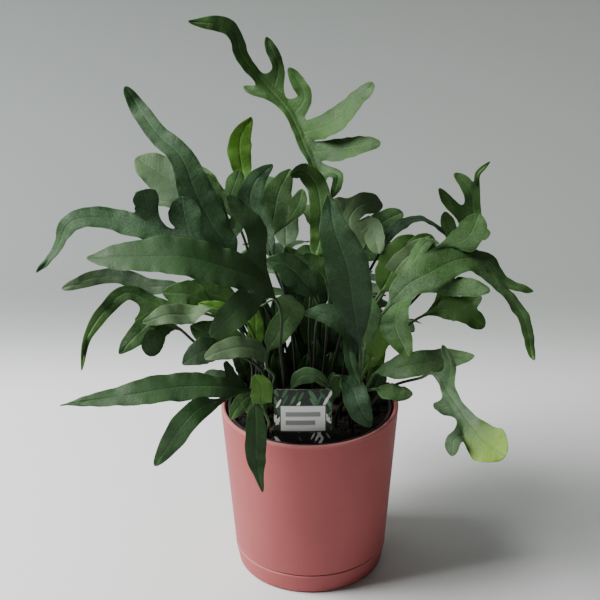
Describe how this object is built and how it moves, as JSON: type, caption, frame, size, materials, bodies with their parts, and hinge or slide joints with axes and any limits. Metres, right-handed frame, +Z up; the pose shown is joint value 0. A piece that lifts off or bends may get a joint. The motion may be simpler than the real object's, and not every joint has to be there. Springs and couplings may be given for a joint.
{
  "type": "potted fern",
  "caption": "Blue star fern with lobed fronds in a black nursery pot, set in a matte pink ceramic pot on a flush matching saucer",
  "frame": {"origin": "centre of the saucer's flat underside, where the plant stands", "axes": "+Z up along the pot's axis; -Y is the front, where the label stands; +X to the right seen from the front"},
  "size_m": [0.4157, 0.3505, 0.4778],
  "materials": {
    "pink_ceramic": "matte",
    "black_plastic": "satin",
    "soil": "rough",
    "rhizome_fur": "matte",
    "label_card": "satin",
    "fern_leaf": "satin"
  },
  "bodies": {
    "root": {"frond_arching_strap": "fern_leaf", "frond_back_fingers": "fern_leaf", "frond_back_high_1": "fern_leaf", "frond_back_high_2": "fern_leaf", "frond_back_high_3": "fern_leaf", "frond_back_left_tall": "fern_leaf", "frond_back_low_1": "fern_leaf", "frond_back_low_2": "fern_leaf", "frond_back_low_3": "fern_leaf", "frond_back_low_4": "fern_leaf", "frond_back_low_5": "fern_leaf", "frond_back_pale": "fern_leaf", "frond_behind_label": "fern_leaf", "frond_bright_back": "fern_leaf", "frond_bright_upright": "fern_leaf", "frond_crown": "fern_leaf", "frond_dark_upright": "fern_leaf", "frond_folded_pale": "fern_leaf", "frond_front_centre": "fern_leaf", "frond_front_dark": "fern_leaf", "frond_front_lance": "fern_leaf", "frond_grey_arch": "fern_leaf", "frond_high_left": "fern_leaf", "frond_leaning": "fern_leaf", "frond_left_dark": "fern_leaf", "frond_left_drooping": "fern_leaf", "frond_left_fingers": "fern_leaf", "frond_left_forked": "fern_leaf", "frond_left_grey": "fern_leaf", "frond_left_low_long": "fern_leaf", "frond_left_pale_strap": "fern_leaf", "frond_low_arch": "fern_leaf", "frond_middle_green": "fern_leaf", "frond_middle_tall": "fern_leaf", "frond_pale_arch": "fern_leaf", "frond_right_back_tall": "fern_leaf", "frond_right_hanging": "fern_leaf", "frond_right_inner": "fern_leaf", "frond_right_low_back": "fern_leaf", "frond_right_low_dark": "fern_leaf", "frond_right_main": "fern_leaf", "frond_right_of_centre": "fern_leaf", "frond_right_small": "fern_leaf", "frond_right_twisted": "fern_leaf", "frond_rim_hanging": "fern_leaf", "frond_slate_arch": "fern_leaf", "frond_small_bright": "fern_leaf", "frond_small_centre": "fern_leaf", "frond_thin_arch": "fern_leaf", "nursery_pot": "black_plastic", "outer_pot": "pink_ceramic", "plant_label": "label_card", "potting_mix": "soil", "rhizome_back": "rhizome_fur", "rhizome_front": "rhizome_fur", "rhizome_left": "rhizome_fur", "rhizome_right": "rhizome_fur", "saucer": "pink_ceramic"}
  },
  "joints": []
}
